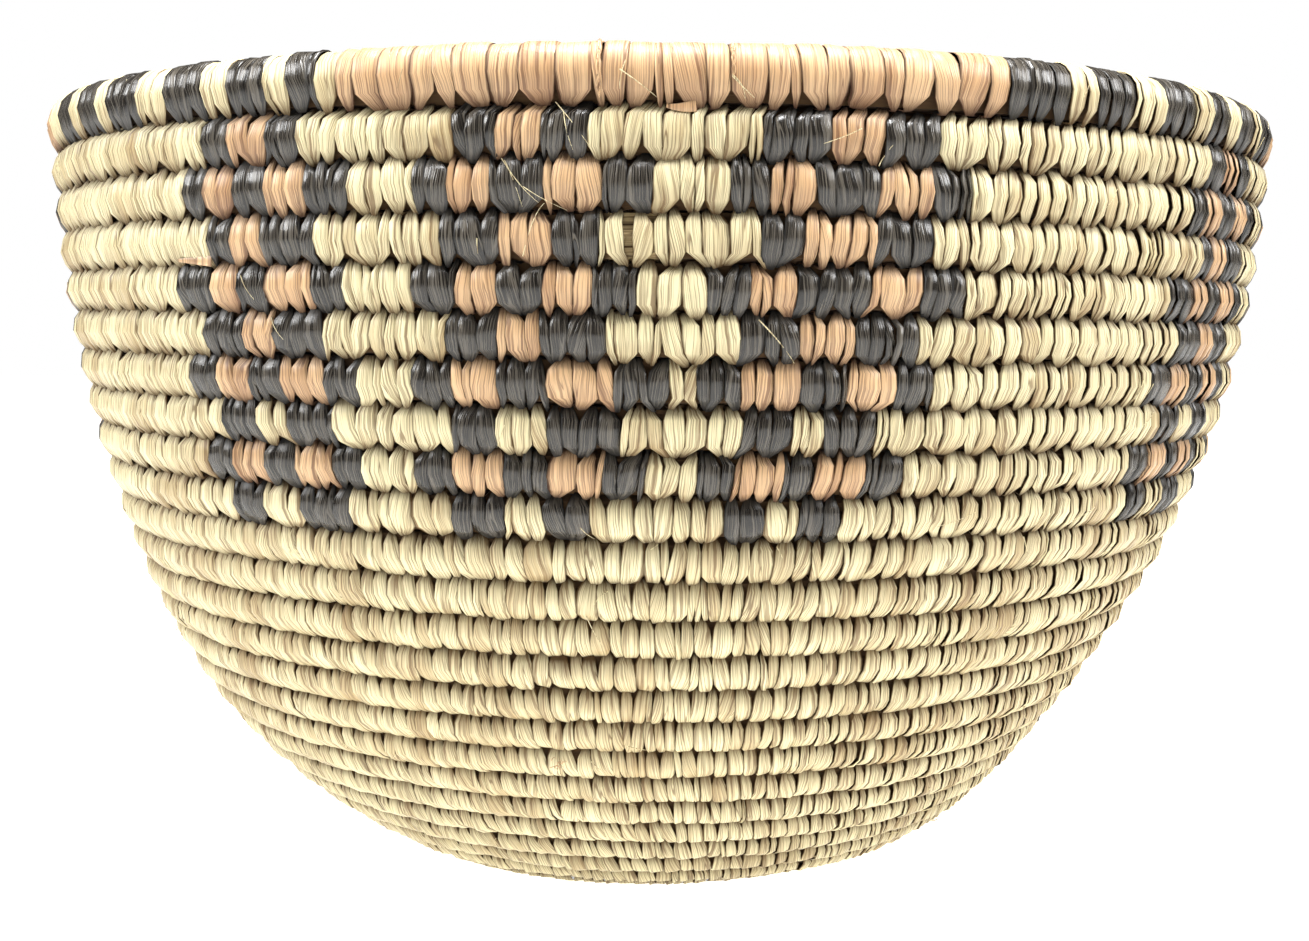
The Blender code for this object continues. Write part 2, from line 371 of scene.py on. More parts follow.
def wall_lean(turn):
    """Angle from flat of the step from the row before to this one."""
    climb = turn - BASE_TURNS + 0.5
    if climb <= 0:
        return 0.0
    height_share = max(turn - BASE_TURNS, 0.0) / (WALL_TURNS + 1)
    lean = LOW_WALL_LEAN + (RIM_LEAN - LOW_WALL_LEAN) * height_share**LEAN_CURVE_SHARE
    return math.radians(lean * min(climb, 1.0))


def section_lean(turn):
    return (wall_lean(turn) + wall_lean(turn + 1)) / 2


def reach_towards(turn, lean):
    corner = coil_thickness(turn) / 2 / math.cos(math.pi / 6)
    return corner * math.cos(math.pi / 6 - abs(lean - section_lean(turn)))


@functools.lru_cache(maxsize=None)
def row_middle(step):
    """(radius, height) of the middle of the coil, each row against the row before it."""
    turn = step / STEPS_PER_TURN
    if turn < 1:
        radius = KNOT_REACH + coil_thickness(turn) / 2 + turn * (COIL_START_THICKNESS + ROW_GAP)
        return radius, BASE_COIL_THICKNESS * (0.5 / math.cos(math.pi / 6) - 0.10)
    radius, height = row_middle(step - STEPS_PER_TURN)
    lean = wall_lean(turn)
    step_out = reach_towards(turn - 1, lean) + ROW_GAP + reach_towards(turn, lean)
    return radius + step_out * math.cos(lean), height + step_out * math.sin(lean)


PATH_TURNS = np.arange(round(LAST_TURN * STEPS_PER_TURN) + 1) / STEPS_PER_TURN
path_middles = np.array([row_middle(step) for step in range(len(PATH_TURNS))])
path_leans = np.array([section_lean(turn) for turn in PATH_TURNS])
path_thickness = np.array([coil_thickness(turn) for turn in PATH_TURNS])


def along_path(values, turns):
    return np.interp(turns, PATH_TURNS, values)


def ripple(turns, pace, start):
    """A slow unevenness of hand work along the coil, between about -1 and 1."""
    waves = ((1.0, 0.55), (2.37, 0.30), (5.19, 0.15))
    return sum(
        share * np.sin(2 * np.pi * (pace * rate * turns + start * (i + 1)))
        for i, (rate, share) in enumerate(waves)
    )


def sway(height):
    """The bowl isn't quite true: its belly stands a little to the left of its rim and foot."""
    foot_share = 1 - np.exp(-np.maximum(height - FOOT_HEIGHT, 0) / FOOT_SPAN)
    belly_share = np.exp(-(((height - BELLY_HEIGHT) / BELLY_SPAN) ** 2))
    return RIM_DRIFT * height / BOWL_HEIGHT - BELLY_SWAY * belly_share * foot_share


def place_round_coil(turns, out, up):
    """Points at these turns, moved out of the bowl's face and up towards the next row.

    The rows nearest the rim are a little wider apart than the rest.
    """
    turns, out, up = np.broadcast_arrays(turns, out, up)
    radius = along_path(path_middles[:, 0], turns)
    height = along_path(path_middles[:, 1], turns)
    lean = along_path(path_leans, turns)
    radius = radius + out * np.sin(lean) + up * np.cos(lean)
    height = height - out * np.cos(lean) + up * np.sin(lean)
    angle = np.pi / 2 - 2 * np.pi * turns
    places = np.stack([radius * np.cos(angle), radius * np.sin(angle), height], -1)
    places[..., 0] += sway(height)
    top_share = np.clip((height - TOP_STRETCH_FROM) / TOP_STRETCH_OVER, 0, 1)
    places[..., 2] = np.maximum(places[..., 2] + TOP_STRETCH * top_share, 0.0)
    return places


def link_mesh(name, places, faces):
    data = bpy.data.meshes.new(name)
    corners = faces.reshape(-1, faces.shape[-1]).tolist()
    data.from_pydata(places.reshape(-1, 3).tolist(), [], corners)
    piece = bpy.data.objects.new(name, data)
    bpy.context.scene.collection.objects.link(piece)
    return piece


# The grass is coloured dark, soil and painted shade together, as it shows only in the shaded gaps
# between strips; its pale colour is for the bare place.
dry_grass = make_finish(
    "dry_grass",
    ((0.62, 0.46, 0.22), (0.16, 0.09, 0.035), (0.10, 0.055, 0.02), (0.06, 0.030, 0.010)),
    (0.80, 0.95, 0.55, 0.85),
    0.50,
    0.70,
    0.0002,
)

core_turns = np.arange(0.0, LAST_TURN - CORE_END_SHORT, 1 / CORE_STEPS_PER_TURN)
bare_ends = BARE_TURN + np.array([-0.006, -0.004, 0.004, 0.006])
core_turns = np.sort(np.append(core_turns, bare_ends))
core_sides = 2 * CORE_STEMS
ring = np.arange(core_sides)
side_angles = 2 * np.pi * ring / core_sides
stem_share = np.where(ring % 2 == 0, 1.0, STEM_GROOVE)
core_reach = along_path(path_thickness, core_turns)[:, None] / 2 * stem_share
roll = side_angles + 0.35 * ripple(core_turns, 3.1, 0.2)[:, None]
is_rim_top = (core_turns[:, None] > LAST_TURN - RIM_TOP_TURNS) & (np.sin(roll) > 0)
side_share = np.where(is_rim_top, CORE_FACE_SHARE, CORE_SIDE_SHARE)
core_places = place_round_coil(
    core_turns[:, None],
    core_reach * CORE_FACE_SHARE * np.cos(roll),
    core_reach * side_share * np.sin(roll),
)
after = (ring + 1) % core_sides
starts = np.arange(len(core_turns) - 1)[:, None] * core_sides
core_faces = np.stack(
    [starts + ring, starts + core_sides + ring, starts + core_sides + after, starts + after], -1
).reshape(-1, 4)
grass_core = link_mesh("grass_bundle", core_places, core_faces)
grass_core.data.materials.append(dry_grass)
deselect_all()
grass_core.select_set(True)
bpy.context.view_layer.objects.active = grass_core
bpy.ops.object.mode_set(mode="EDIT")
bpy.ops.mesh.select_all(action="DESELECT")
bpy.ops.mesh.select_non_manifold()
bpy.ops.mesh.edge_face_add()
bpy.ops.mesh.select_all(action="SELECT")
bpy.ops.mesh.normals_make_consistent(inside=False)
bpy.ops.object.mode_set(mode="OBJECT")
corner_vertex = np.zeros(len(grass_core.data.loops), np.int32)
grass_core.data.loops.foreach_get("vertex_index", corner_vertex)
stem_across = corner_vertex % core_sides * STEM_MAP_WIDTH
stem_along = core_turns[corner_vertex // core_sides] * STEM_MAP_PER_TURN
core_map = np.stack([stem_across, stem_along], -1)
is_bare = np.abs(core_turns - BARE_TURN)[:, None] < BARE_REACH
# The core is painted dark with soil and shade all over, except at the bare place; its grooves
# between stems get more painted shade.
core_tone = np.where(is_bare, 0.1, 0.75 + 0.25 * np.sin(ring * 2.3))
core_soil_and_shade = np.where(is_bare, BARE_SOIL_AND_SHADE, 1.0) + np.where(stem_share < 1, GROOVE_SOIL_AND_SHADE, 0.0)
core_edge = np.broadcast_to(stem_share < 1, core_tone.shape)
mark_strips(grass_core.data, core_tone, core_soil_and_shade, core_edge, core_map)
settle(grass_core, "grass_bundle")
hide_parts("grass_core")


# Sewn rows: strips of palm leaf are wrapped round the bundle and sewn through the row below, so
# each strip is full at the middle of its row and pinched where it goes into the work. The base
# has 8 rows and the wall 22. Dyed strips make the dark and brown blocks below the rim.
STITCH_WIDTH = 0.0034
STITCH_RING = 0.0085
STITCH_CROWN = 0.00010
STITCH_EDGE = 0.00029
CROWN_SHARE = 0.36
OVERLAP = 1.06
UPPER_WALL_TURNS = (20.0, 22.5)
FINE_STRIPS_TURNS = (18.5, 20.5)
FINE_STRIPS_SHARE = 0.84
LEAST_STRIP_WIDTH = 0.001
LEAST_PLAIN_WIDTH = 0.002
FOLD_CHANCE = 0.35
NARROWEST_SHARE = 0.28
LEAST_DEPTH = 0.00015
FOLD_CLEARANCE = 0.00005
HAND_TREMOR = 0.00003
SWELL_OUT = 0.00018
SWELL_UP = 0.00022
# Where the soil and painted shade begin towards the strips' lower and upper ends, in the lower and
# upper wall.
CLEAN_UNSHADED_LOW = (0.76, 0.42)
CLEAN_UNSHADED_TOP = (0.34, 0.50)
TONE_TURNS = (12.0, 15.0, 19.0, 21.0)
TONE_SHIFTS = (-0.15, 0.12, 0.12, -0.05)
STAIN_TURN = 17.518
STAIN_REACH = 0.007
STAIN_SHARES = (0.35, 0.2, 0.45, 0.3, 0.35, 0.15)
# Each line along a strip: its angle round the coil from the outer face in degrees, its distance
# from the middle of the coil, and its share of the strip's width.
STITCH_FORM = (
    (0, 0.00488, 1.00),
    (33, 0.00486, 0.94),
    (54, 0.00488, 0.76),
    (66, 0.00516, 0.46),
    (90, 0.00392, 1.04),
    (115, 0.00470, 0.54),
    (138, 0.00484, 0.92),
    (180, 0.00488, 1.00),
    (222, 0.00484, 0.92),
    (245, 0.00500, 0.54),
    (270, 0.00430, 1.04),
    (298, 0.00576, 0.40),
    (308, 0.00536, 0.70),
    (327, 0.00496, 0.95),
)
STITCH_SIDES = len(STITCH_FORM)


def model_stitch(name, form):
    """One strip round the coil, which lies along X, with its outer face to +Y and its top up."""
    deselect_all()
    bpy.ops.mesh.primitive_cylinder_add(
        vertices=STITCH_SIDES,
        radius=STITCH_RING / 2,
        depth=STITCH_WIDTH,
        end_fill_type="NOTHING",
        rotation=(0, math.pi / 2, 0),
    )
    stitch = bpy.context.object
    stitch.name = name
    bpy.ops.object.transform_apply(location=True, rotation=True, scale=True)
    bpy.ops.object.mode_set(mode="EDIT")
    for share in (-CROWN_SHARE, CROWN_SHARE):
        bpy.ops.mesh.select_all(action="SELECT")
        bpy.ops.mesh.bisect(plane_co=(share * STITCH_WIDTH, 0, 0), plane_no=(1, 0, 0))
    bpy.ops.mesh.select_all(action="DESELECT")
    bpy.ops.mesh.select_non_manifold()
    bpy.ops.mesh.bridge_edge_loops()
    for share, rise in ((CROWN_SHARE, STITCH_CROWN), (0.5, -STITCH_EDGE)):
        select_where(stitch, lambda co: abs(abs(co.x) - share * STITCH_WIDTH) < 0.0001)
        grow = 1 + rise / (STITCH_RING / 2)
        bpy.ops.transform.resize(value=(1, grow, grow), center_override=(0, 0, 0))
    for line, (angle, reach, width_share) in enumerate(form):
        start = math.radians(360 / STITCH_SIDES * line)
        end = math.radians(angle)
        select_where(
            stitch,
            lambda co: co.y * math.cos(start) + co.z * math.sin(start)
            > math.hypot(co.y, co.z) * math.cos(math.radians(1)),
        )
        bpy.ops.transform.translate(
            value=(
                0,
                reach * math.cos(end) - STITCH_RING / 2 * math.cos(start),
                reach * math.sin(end) - STITCH_RING / 2 * math.sin(start),
            )
        )
        bpy.ops.transform.resize(value=(width_share, 1, 1), center_override=(0, 0, 0))
    bpy.ops.mesh.select_all(action="SELECT")
    bpy.ops.mesh.normals_make_consistent(inside=False)
    bpy.ops.object.mode_set(mode="OBJECT")
    return stitch


def read_form(stitch, form, top_shows):
    """The stitch as arrays: places, faces, corner angles in degrees, and shares of its width.

    A top that shows isn't sewn into a row above, so it gets no soil or painted shade.
    """
    data = stitch.data
    places = np.array([vertex.co[:] for vertex in data.vertices])
    faces = np.array([polygon.vertices[:] for polygon in data.polygons])
    angles = np.degrees(np.arctan2(places[:, 2], places[:, 1]))
    corners = angles[faces]
    middles = places[faces].mean(1)
    middle_angles = np.degrees(np.arctan2(middles[:, 2], middles[:, 1]))
    middle_angles = np.where(middle_angles < -90, middle_angles + 360, middle_angles)
    corners = corners + 360 * np.round((middle_angles[:, None] - corners) / 360)
    form_angles, _, form_shares = zip(*form)
    shares = np.interp(angles % 360, form_angles, form_shares, period=360)
    bpy.data.objects.remove(stitch)
    return {
        "places": places,
        "faces": faces,
        "corners": corners,
        "shares": shares,
        "top_shows": top_shows,
    }


plain_stitch = read_form(model_stitch("plain_stitch", STITCH_FORM), STITCH_FORM, False)
chance = np.random.default_rng(20)


def share_holes(turns):
    """The hole in the row below that each strip goes through, one hole to one to three strips."""
    holes = np.zeros(len(turns))
    first = 0
    while first < len(turns):
        group = slice(first, first + int(chance.choice((1, 2, 3), p=(0.34, 0.50, 0.16))))
        holes[group] = turns[group].mean()
        first = group.stop
    return holes


def upper_wall_share(turns):
    return np.interp(turns, UPPER_WALL_TURNS, (0.0, 1.0))


def blend_rows(values, upper_wall):
    """From the first value in the lower wall to the second in the upper wall."""
    return values[0] + (values[1] - values[0]) * upper_wall


def lay_strips(start, end, widths, dye_at, bare=()):
    """Strips side by side along the coil, each with the small differences of hand work.

    A bare place, given by its turn and its width, is left without a strip.
    """
    turns, sizes = [], []
    turn = start
    while turn < end:
        radius = float(along_path(path_middles[:, 0], turn))
        if bare and abs(turn - bare[0]) * 2 * math.pi * radius < bare[1]:
            turn += bare[1] / (2 * math.pi * radius)
        if chance.random() < widths["sliver_share"]:
            width = chance.uniform(*widths["sliver"])
        elif chance.random() < widths["wide_share"]:
            width = chance.uniform(*widths["wide"])
        else:
            width = max(chance.normal(*widths["plain"]), LEAST_PLAIN_WIDTH)
        width *= float(np.interp(turn, FINE_STRIPS_TURNS, (FINE_STRIPS_SHARE, 1.0)))
        step = min(width / (2 * math.pi * radius), end - turn)
        width = step * 2 * math.pi * radius
        if dye_at(turn + step) != dye_at(turn):
            tries = np.linspace(turn, turn + step, 40)
            step = next(t for t in tries if dye_at(t) != dye_at(turn)) - turn
            width = step * 2 * math.pi * radius
        if turns and width < LEAST_STRIP_WIDTH:
            turns[-1] += step / 2
            sizes[-1] += width
            turn += step
            continue
        turns.append(turn + step / 2)
        sizes.append(width)
        turn += step
    count = len(turns)
    turns, sizes = np.array(turns), np.array(sizes)
    girth = 2 * np.pi * along_path(path_middles[:, 0], turns)
    upper_wall = upper_wall_share(turns)
    sideways = 0.05 * ripple(turns, 3.3, 0.4) + 0.08 * (1 - upper_wall)
    holes = share_holes(turns)
    peaks = np.unique(holes)
    peaks = (peaks[1:] + peaks[:-1]) / 2 - 1
    nearest = np.clip(np.searchsorted(np.unique(holes), turns + 1) - 1, 0, len(peaks) - 1)
    to_peak = np.clip((peaks[nearest] - turns) * girth, -0.005, 0.005)
    return {
        "turn": turns,
        "width": sizes,
        "pull_low": (holes - turns) * girth * blend_rows(widths["pull_low"], upper_wall),
        "pull_top": to_peak * blend_rows(widths["pull_top"], upper_wall),
        "tone": chance.beta(1.2, 3.2, count) * 0.9,
        "lean": chance.normal(0, 0.06, count) + sideways,
        "lean_inside": chance.normal(0, 0.08, count),
        "pinch_low": chance.uniform(0.6, 1.7, count) * blend_rows((0.2, 1.0), upper_wall),
        "pinch_top": chance.uniform(0.3, 1.7, count) * blend_rows((1.25, 1.05), upper_wall),
        "rise": 0.0008 * np.exp(-((to_peak / 0.002) ** 2)) * upper_wall,
        "tooth": chance.uniform(-0.0003, 0.0005, count),
        "full": chance.normal(0.0, 0.00011, count),
        "skew": chance.normal(0.00018, 0.00013, count),
        "curl": chance.uniform(*widths["curl"], count),
        "fold": (chance.random(count) < FOLD_CHANCE) * chance.uniform(0.0002, 0.0004, count),
        "fold_side": chance.choice((-1.0, 1.0), count),
        "fold_place": chance.uniform(-0.2, 0.25, count),
        "lift": chance.normal(0, 0.00012, count),
        "dye": np.array([dye_at(turn) for turn in turns]),
        "stain": np.zeros(count),
        "map": chance.uniform(0, 900, (count, 2)),
    }


def strips_where(strips, keep):
    return {name: values[keep] for name, values in strips.items()}


def wrap_strips(name, strips, form, material):
    """Copies the stitch once for each strip, bent round the coil, in one mesh.

    Every array has a row for each strip and a column for each point of the stitch. A point lies
    across the strip from -1 to 1, at an angle round the coil, and at its reach from the middle.
    """
    places, faces, shares = form["places"], form["faces"], form["shares"]
    count, points = len(strips["turn"]), len(places)
    column = {key: values[:, None] for key, values in strips.items() if values.ndim == 1}
    angle = np.arctan2(places[:, 2], places[:, 1])
    reach = np.hypot(places[:, 1], places[:, 2])
    across = places[:, 0] / (STITCH_WIDTH / 2 * shares)
    edge = np.abs(across)
    low, high = np.clip(-np.sin(angle), 0, 1), np.clip(np.sin(angle), 0, 1)
    near_end = np.clip((np.abs(np.sin(angle)) - 0.58) / 0.42, 0, 1)
    face = np.cos(angle) ** 2
    scale = along_path(path_thickness, column["turn"]) / STITCH_RING
    # Along the coil: strips are pinched at their ends, lean, and pull towards a shared hole.
    pinch = np.where(np.sin(angle) < 0, column["pinch_low"], column["pinch_top"])
    width_share = np.maximum(shares**pinch, NARROWEST_SHARE)
    on_fold = (edge < 0.9) & (np.sign(across) == column["fold_side"]) & (column["fold"] > 0)
    across = across - np.where(on_fold, across * (0.4 + column["fold_place"]), 0)
    side = across * column["width"] / 2 * OVERLAP * width_share
    outside = np.clip(np.cos(angle) * 3, -1, 1) / 2 + 0.5
    slant = column["lean"] * outside + column["lean_inside"] * (1 - outside)
    side = side + slant * reach * scale * np.sin(angle)
    side = side + np.where(np.sin(angle) < 0, column["pull_low"], column["pull_top"]) * near_end
    # Out from the coil: uneven ends, crowns of uneven height, folds and edges that curl up.
    reach = reach * scale + column["tooth"] * low**4 + column["rise"] * high**4
    reach = reach + column["full"] * face
    # A raised edge or a deep fold mustn't bring a strip's back through its own front.
    strip_depth = (STITCH_CROWN + STITCH_EDGE) * scale
    curl = np.maximum(column["curl"], LEAST_DEPTH - strip_depth)
    fold_room = np.maximum(strip_depth + np.minimum(curl, 0) - FOLD_CLEARANCE, 0)
    fold = np.minimum(column["fold"] * (1 - 0.75 * face), fold_room)
    reach = reach + column["skew"] * across * face - curl * (edge > 0.9) * (1 - face / 2)
    reach = reach - np.where(on_fold, fold, 0)
    reach = reach + chance.normal(0, HAND_TREMOR, (count, points))
    radius = along_path(path_middles[:, 0], column["turn"])
    turns = np.clip(column["turn"] + side / (2 * np.pi * radius), 0.0, LAST_TURN)
    out = reach * np.cos(angle) + SWELL_OUT * ripple(turns, 4.1, 0.3)
    up = reach * np.sin(angle) + column["lift"] + SWELL_UP * ripple(turns, 3.7, 0.7)
    all_faces = faces[None] + points * np.arange(count)[:, None, None]
    piece = link_mesh(name, place_round_coil(turns, out, up), all_faces)
    # Soil and painted shade lie where a strip goes out of sight and along its pinched ends. On the
    # upper wall's outer face the strips' tops are painted paler as painted highlight and their
    # lower ends darker as painted shade, and rows are shifted in tone.
    upper_wall = upper_wall_share(column["turn"])
    clean_unshaded_low, clean_unshaded_top = blend_rows(CLEAN_UNSHADED_LOW, upper_wall), blend_rows(CLEAN_UNSHADED_TOP, upper_wall)
    clean_unshaded = np.where(np.sin(angle) < 0, clean_unshaded_low, clean_unshaded_top)
    # Soil and painted shade darken each strip's ends, where it goes into the shaded gap between
    # rows, and its pinched parts.
    soil_and_shade = np.clip((np.abs(np.sin(angle)) - clean_unshaded) / (1 - clean_unshaded), 0, 1)
    soil_and_shade = soil_and_shade + (1.0 - width_share) * 0.3
    soil_and_shade = soil_and_shade + column["stain"] * np.clip(0.7 + np.sin(angle), 0, 1)
    soil_and_shade = np.where(np.abs(np.sin(angle)) > 0.97, 1.0, soil_and_shade)
    if form["top_shows"]:
        soil_and_shade = np.where(np.sin(angle) > 0, 0.0, soil_and_shade)
    # Painted highlight on the strips' tops and painted shade on their lower ends, on the upper
    # wall's outer face; then whole rows are shifted in tone.
    painted_light_and_row_tone = upper_wall * (0.28 * low - 0.24 * high) * outside
    painted_light_and_row_tone = painted_light_and_row_tone + np.interp(column["turn"], TONE_TURNS, TONE_SHIFTS)
    # The strip map, in millimetres, from a place of its own on the leaf for each strip.
    corner_across = across[:, faces] * column["width"][:, :, None] / 2 * 1000
    corner_along = np.radians(form["corners"]) * STITCH_RING / 2 * 1000
    slant_inside = strips["lean_inside"][:, None, None] * 1.4
    strip_map = np.stack(
        [
            corner_across + corner_along * slant_inside + strips["map"][:, 0, None, None],
            np.broadcast_to(corner_along, corner_across.shape) + strips["map"][:, 1, None, None],
        ],
        -1,
    )
    mark_strips(
        piece.data,
        np.broadcast_to(column["tone"] + painted_light_and_row_tone, (count, points)),
        np.broadcast_to(soil_and_shade, (count, points)),
        np.broadcast_to(edge, (count, points)),
        strip_map,
    )
    piece.data.shade_smooth()
    piece.data.set_sharp_from_angle(angle=math.radians(80))
    piece.data.materials.append(material)
    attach(piece, "root")
    return piece


# The dyed pattern, counted from the rim down: the middles of the three motifs of one group in
# degrees from the middle of the front, and the widths of each motif's blocks in millimetres,
# black and brown by turns. Rows 8 and 10 have the natural leaf in place of brown.
RIM_ROW_TURN = 31
PATTERN = {
    2: ((-31.5, 7.3, 9.5, 7.2), (-9.7, 7.8, 8.0, 8.2), (13.3, 12.1, 9.8, 10.6)),
    3: (
        (-30.6, 5.8, 7.9, 8.3, 9.1, 9.3),
        (-9.0, 6.6, 7.7, 9.5, 10.2, 8.8),
        (13.6, 7.0, 8.2, 11.6, 10.3, 7.7),
    ),
    4: ((-30.9, 5.7, 7.9, 12.5), (-9.9, 10.8, 9.5, 8.2), (13.3, 7.6, 13.2, 10.9)),
    5: (
        (-32.0, 10.1, 7.4, 6.9, 11.1, 6.8),
        (-9.8, 8.4, 7.6, 8.3, 8.7, 7.7),
        (13.0, 7.5, 8.4, 13.6, 9.9, 8.8),
    ),
    6: ((-31.7, 10.5, 7.7, 11.6), (-9.7, 9.8, 7.6, 11.8), (12.5, 10.6, 10.4, 12.3)),
    7: (
        (-31.9, 8.1, 9.3, 7.9, 10.4, 7.5),
        (-8.9, 7.8, 8.5, 9.0, 11.9, 9.9),
        (11.8, 8.0, 10.6, 8.8, 9.3, 7.5),
    ),
    8: ((-31.7, 9.6, 7.5, 11.0), (-9.2, 8.4, 9.4, 13.3), (11.5, 9.0, 5.9, 10.0)),
    9: (
        (-32.2, 7.8, 8.8, 7.7, 8.9, 6.7),
        (-10.0, 7.8, 9.6, 8.2, 9.9, 7.7),
        (11.3, 6.7, 9.0, 5.6, 9.9, 7.6),
    ),
    10: ((-32.1, 8.5, 10.4, 11.3), (-10.6, 10.1, 7.1, 8.7), (10.2, 7.4, 6.4, 8.1)),
}
PLAIN_MIDDLE_ROWS = (8, 10)
GROUP_SHARES = (0.0, 0.2625, 0.5, 0.75, 1.0)
GROUP_LAG = 0.026


def dye_of(turn):
    """0 for natural, 1 for brown and 2 for black, by the place in the pattern."""
    group_turns = [math.floor(turn) + share for share in GROUP_SHARES]
    middle_turn = min(group_turns, key=lambda at: abs(turn - GROUP_LAG - at))
    photo_row = RIM_ROW_TURN - math.floor(middle_turn)
    if photo_row not in PATTERN:
        return 0
    radius = float(along_path(path_middles[:, 0], turn))
    from_middle = (middle_turn - turn) * 360
    for motif_middle, *blocks in PATTERN[photo_row]:
        along = math.radians(from_middle - motif_middle) * radius * 1000 + sum(blocks) / 2
        if not 0 <= along < sum(blocks):
            continue
        block = int(np.searchsorted(np.cumsum(blocks), along, side="right"))
        if block % 2 == 0:
            return 2
        return 0 if photo_row in PLAIN_MIDDLE_ROWS else 1
    return 0


wall_widths = {
    "plain": (0.0032, 0.0006),
    "wide": (0.0041, 0.0050),
    "sliver": (0.0011, 0.0020),
    "wide_share": 0.20,
    "sliver_share": 0.14,
    "pull_low": (0.15, 0.75),
    "pull_top": (0.12, 0.40),
    "curl": (-0.0001, 0.0003),
}
FIRST_STRIP_TURN = 0.02
rows_strips = lay_strips(
    FIRST_STRIP_TURN, RIM_TURN - SEAM_SHARE, wall_widths, dye_of, (BARE_TURN, BARE_WIDTH)
)
stained = np.abs(rows_strips["turn"] - STAIN_TURN) < STAIN_REACH
rows_strips["stain"][stained] = STAIN_SHARES[: stained.sum()]

brown_palm = make_finish(
    "brown_palm",
    ((0.73, 0.48, 0.260), (0.43, 0.23, 0.105), (0.15, 0.065, 0.030), (0.05, 0.019, 0.007)),
    (0.75, 0.94, 0.32, 0.46),
    0.50,
)
# The black leaf's pale grey lines are partly its own paler streaks and partly painted highlight on
# its fibres.
black_palm = make_finish(
    "black_palm",
    ((0.018, 0.015, 0.012), (0.005, 0.004, 0.003), (0.20, 0.175, 0.140), (0.003, 0.002, 0.001)),
    (0.60, 0.94, 0.13, 0.30),
    0.54,
)
finishes = (("natural", natural_palm), ("brown", brown_palm), ("black", black_palm))
rows_row = np.floor(rows_strips["turn"] + SEAM_SHARE).astype(int)
for row in range(RIM_TURN):
    if row < BASE_TURNS:
        node = f"base_row_{row + 1:02d}"
    else:
        node = f"wall_row_{row - BASE_TURNS + 1:02d}"
    for dye, (colour, material) in enumerate(finishes):
        here = (rows_row == row) & (rows_strips["dye"] == dye)
        if not here.any():
            continue
        piece = wrap_strips(
            f"{node}_{colour}_strips",
            strips_where(rows_strips, here),
            plain_stitch,
            material,
        )
        if dye == 0:
            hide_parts(node)


# Rim: the last turn is thicker and bound over with broader strips, brown over each group of the
# pattern, and black with natural ticks between. It tapers off at the back, where it is sewn down.
RIM_GROUPS = 4
BROWN_RIM_SHARE = 0.139
BROWN_LEFT_SHORT = 0.0053
RIM_FORM = (
    (0, 0.00474, 1.00),
    (33, 0.00472, 1.00),
    (54, 0.00470, 1.00),
    (72, 0.00469, 1.00),
    (90, 0.00468, 1.00),
    (115, 0.00470, 1.00),
    (138, 0.00472, 1.00),
    (180, 0.00474, 1.00),
    (222, 0.00472, 0.96),
    (245, 0.00480, 0.66),
    (270, 0.00440, 1.02),
    (298, 0.00560, 0.36),
    (308, 0.00524, 0.66),
    (327, 0.00484, 0.93),
)
rim_stitch = read_form(model_stitch("rim_stitch", RIM_FORM), RIM_FORM, True)
rim_pulls = {"pull_low": (0.42, 0.42), "pull_top": (0.0, 0.0), "curl": (-0.00026, -0.00012)}
rim_widths = {
    "brown": {
        **rim_pulls,
        "plain": (0.0047, 0.0006),
        "wide": (0.0055, 0.0066),
        "sliver": (0.0014, 0.0022),
        "wide_share": 0.35,
        "sliver_share": 0.08,
    },
    "ticked": {
        **rim_pulls,
        "plain": (0.0036, 0.0004),
        "wide": (0.0040, 0.0046),
        "sliver": (0.0015, 0.0022),
        "wide_share": 0.15,
        "sliver_share": 0.10,
    },
}


def rim_spans():
    """(node, start, end, kind) of the bindings that meet end to end round the rim."""
    spans, start = [], RIM_TURN - SEAM_SHARE
    for group in range(RIM_GROUPS + 1):
        middle = RIM_TURN + group / RIM_GROUPS
        brown_start = max(middle - BROWN_RIM_SHARE / 2, start)
        if group > 0:
            spans.append((f"rim_ticked_binding_{group}", start, brown_start, "ticked"))
        brown_end = middle + BROWN_RIM_SHARE / 2 - BROWN_LEFT_SHORT
        if group == RIM_GROUPS:
            brown_end = LAST_TURN
        spans.append((f"rim_brown_binding_{group + 1}", brown_start, brown_end, "brown"))
        start = brown_end
    return spans


# Runs of leaf in the ticked bindings, in millimetres: to the right of the front they begin and
# end with black, and to the left with natural leaf.
RIGHT_TICKS = (13.0, 8.0, 9.0, 7.0, 8.0, 7.6, 10.3, 9.3, 10.3, 6.8, 13.4)
LEFT_TICKS = (4.7, 6.3, 5.5, 9.7, 6.8, 11.3, 9.7, 12.9, 5.3, 10.0, 6.0, 11.5, 10.5)


def ticks_between(start, end, black_first, runs):
    """Dye by place in a ticked binding, whose runs of black and natural are in millimetres."""
    edges = start + np.cumsum(runs) * (end - start) / sum(runs)

    def dye_at(turn):
        run = int(np.searchsorted(edges, turn, side="right"))
        return 2 if (run % 2 == 0) == black_first else 0

    return dye_at


for node, start, end, kind in rim_spans():
    if kind == "brown":
        strips = lay_strips(start, end, rim_widths[kind], lambda turn: 1)
        piece = wrap_strips(f"{node}_strips", strips, rim_stitch, brown_palm)
        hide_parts(node)
        continue
    if node[-1] in "24":
        dye_at = ticks_between(start, end, True, RIGHT_TICKS)
    else:
        dye_at = ticks_between(start, end, False, LEFT_TICKS)
    strips = lay_strips(start, end, rim_widths[kind], dye_at)
    piece = wrap_strips(
        f"{node}_black_strips",
        strips_where(strips, strips["dye"] == 2),
        rim_stitch,
        black_palm,
    )
    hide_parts(node)
    wrap_strips(
        f"{node}_natural_strips",
        strips_where(strips, strips["dye"] == 0),
        rim_stitch,
        natural_palm,
    )


